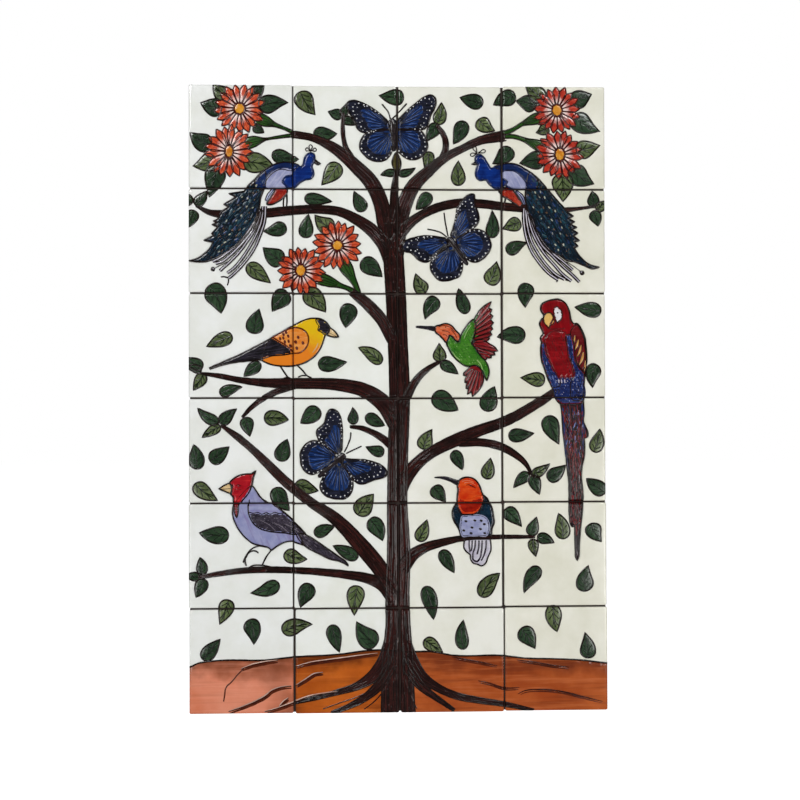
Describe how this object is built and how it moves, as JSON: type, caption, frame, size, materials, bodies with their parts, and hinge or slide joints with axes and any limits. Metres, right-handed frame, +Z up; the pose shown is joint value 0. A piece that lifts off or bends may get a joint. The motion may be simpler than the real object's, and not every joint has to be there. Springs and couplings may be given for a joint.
{
  "type": "relief tile mural",
  "caption": "Upright wall mural of square relief clay tiles on a backer board, showing a tree of life with birds, butterflies and flowers.",
  "frame": {"origin": "centre of the backer board's back face, which lies against the wall", "axes": "+X to the right seen from the front, +Z up, +Y into the wall; the picture faces -Y"},
  "size_m": [0.6079, 0.0193, 0.9123],
  "materials": {
    "clay": "unglazed, matt",
    "glaze": "gloss glaze in many colours",
    "grout": "fine, matt",
    "mortar": "sandy, matt",
    "backer": "fibre cement, matt"
  },
  "bodies": {
    "root": {"backer_board": "backer", "setting_bed": "mortar", "joint_grout": "grout", "tile_r1_c1": "clay", "tile_r1_c2": "clay", "tile_r1_c3": "clay", "tile_r1_c4": "clay", "tile_r2_c1": "clay", "tile_r2_c2": "clay", "tile_r2_c3": "clay", "tile_r2_c4": "clay", "tile_r3_c1": "clay", "tile_r3_c2": "clay", "tile_r3_c3": "clay", "tile_r3_c4": "clay", "tile_r4_c1": "clay", "tile_r4_c2": "clay", "tile_r4_c3": "clay", "tile_r4_c4": "clay", "tile_r5_c1": "clay", "tile_r5_c2": "clay", "tile_r5_c3": "clay", "tile_r5_c4": "clay", "tile_r6_c1": "clay", "tile_r6_c2": "clay", "tile_r6_c3": "clay", "tile_r6_c4": "clay"}
  },
  "joints": []
}
